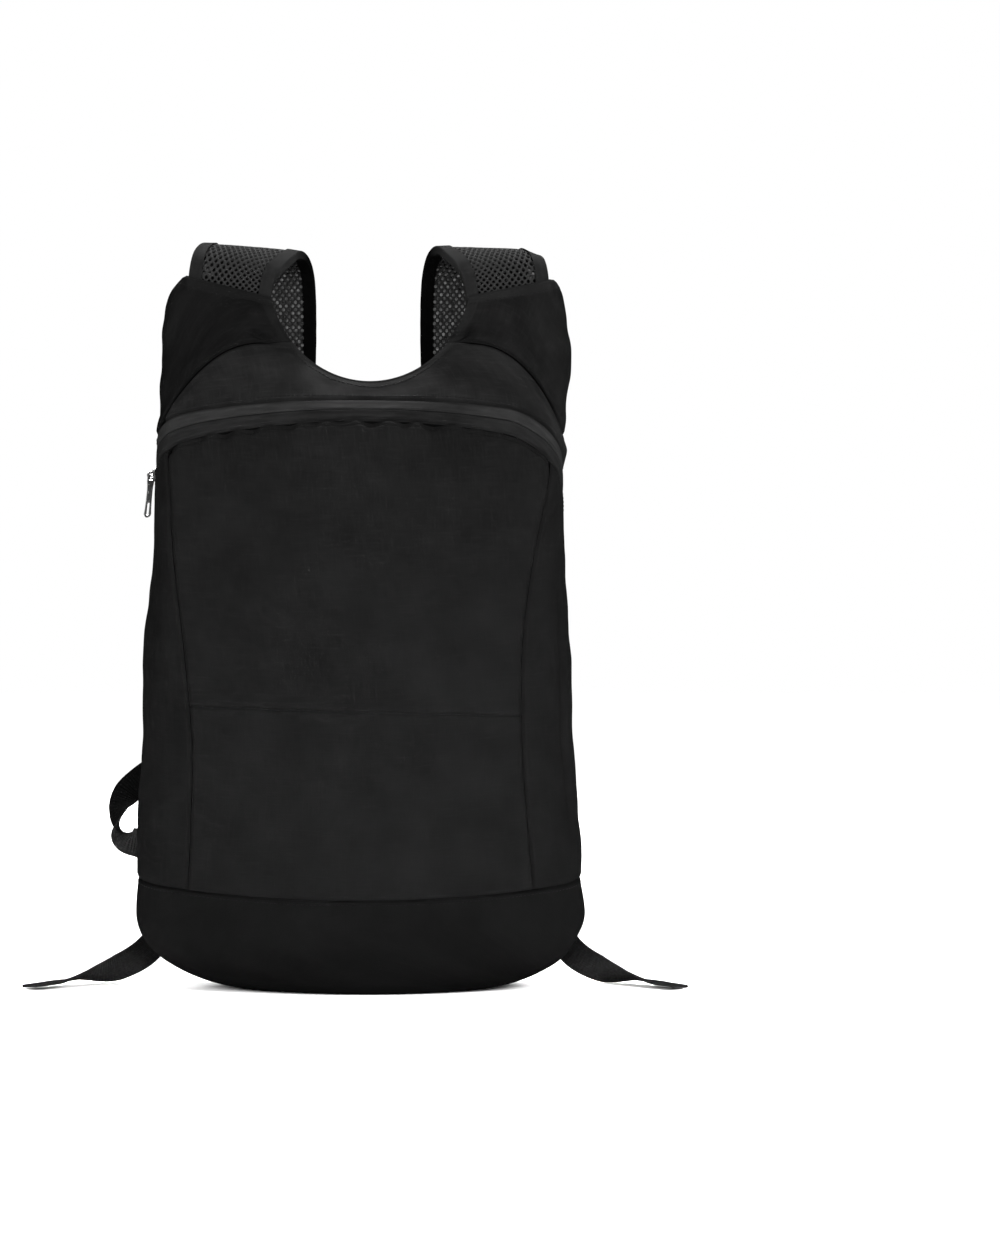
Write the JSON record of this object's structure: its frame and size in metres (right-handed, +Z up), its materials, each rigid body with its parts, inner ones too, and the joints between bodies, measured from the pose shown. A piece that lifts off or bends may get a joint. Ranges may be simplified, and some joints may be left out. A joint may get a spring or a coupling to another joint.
{
  "type": "sports backpack",
  "caption": "Soft black nylon sports backpack standing upright, with a rounded base, an arched front zip, cloth ears over the strap roots, spacer-mesh shoulder straps and loose webbing tails.",
  "frame": {"origin": "on the floor, under the middle of the flat that the base stands on", "axes": "+Z up; -Y is the front with the zip, +Y is the side against the wearer's back; -X is the viewer's left from the front"},
  "size_m": [0.4576, 0.1651, 0.5187],
  "materials": {
    "cloth": "matte satin black nylon",
    "zip": "woven black zip tape",
    "mesh": "black spacer mesh with open cells",
    "binding": "black woven edge tape",
    "webbing": "ribbed black webbing",
    "plastic": "moulded black plastic",
    "metal": "black painted zip hardware, worn bright at the rims"
  },
  "bodies": {
    "bag": {"base_panel": "cloth", "front_panel": "cloth", "side_panel_left": "cloth", "side_panel_right": "cloth", "zip_tape_lower": "zip", "zip_tape_upper": "zip", "yoke_panel": "cloth", "shoulder_panel_left": "cloth", "shoulder_panel_right": "cloth", "back_panel": "cloth", "shoulder_strap_left": "mesh", "strap_binding_left_inner": "binding", "strap_binding_left_outer": "binding", "ladder_lock_left": "plastic", "webbing_left": "webbing", "shoulder_strap_right": "mesh", "strap_binding_right_inner": "binding", "strap_binding_right_outer": "binding", "ladder_lock_right": "plastic", "webbing_right": "webbing", "zip_slider": "metal"},
    "pull": {"zip_pull": "metal"}
  },
  "joints": [
    {"name": "pull_swing", "type": "hinge", "parent": "bag", "child": "pull", "pos_m": [-0.14586, 0.02586, 0.35399], "axis": [0.2237, 0.8664, 0.4465], "range_deg": [-15, 145]}
  ]
}
